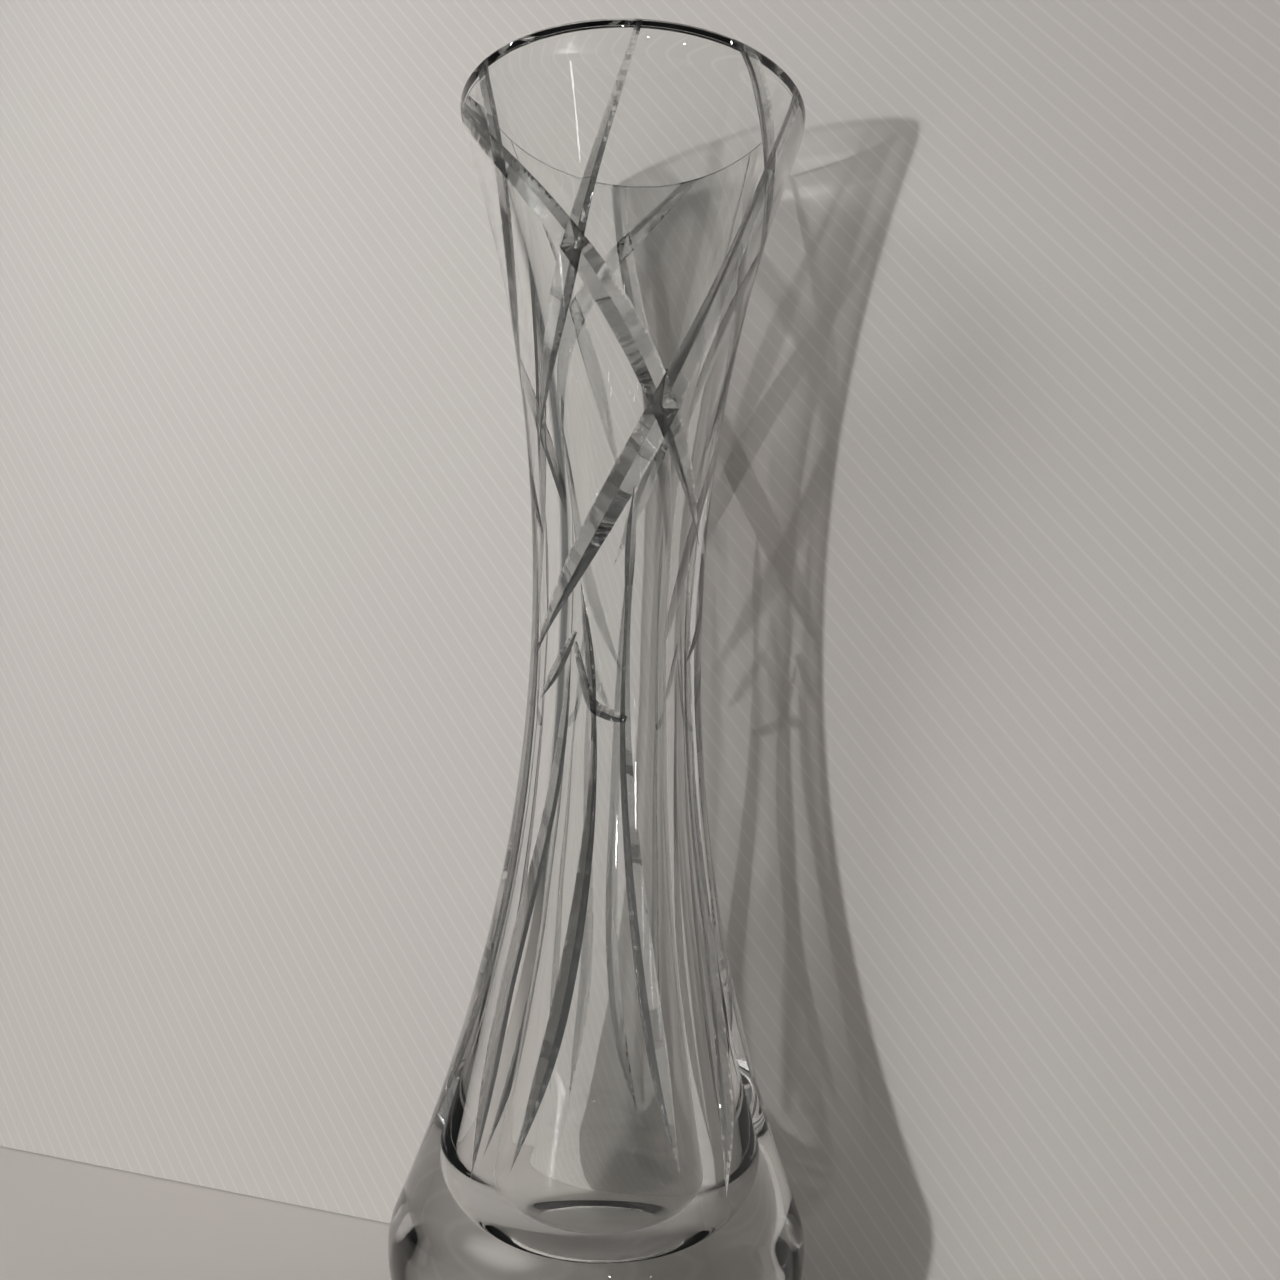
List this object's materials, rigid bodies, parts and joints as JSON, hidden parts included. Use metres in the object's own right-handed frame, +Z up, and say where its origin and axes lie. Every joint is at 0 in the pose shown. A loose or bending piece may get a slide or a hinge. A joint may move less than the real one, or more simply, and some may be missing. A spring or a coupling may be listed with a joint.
{
  "type": "bud vase",
  "caption": "Tall clear cut crystal vase with a thick solid foot, a narrow waist and a flared mouth, crossed by slanting and upright V cuts; holds a few stems in water.",
  "frame": {"origin": "middle of the flat resting face under the foot", "axes": "+Z runs up the axis of the vase from the foot to the mouth; -Y is the side with the middle of one wide upright panel; +X is to the right of that side"},
  "size_m": [0.0752, 0.0752, 0.236],
  "materials": {
    "crystal": "polished"
  },
  "bodies": {
    "root": {"foot": "crystal", "well_wall": "crystal", "skirt_wall": "crystal", "waist_wall": "crystal", "flare_wall": "crystal", "mouth_wall": "crystal"}
  },
  "joints": []
}
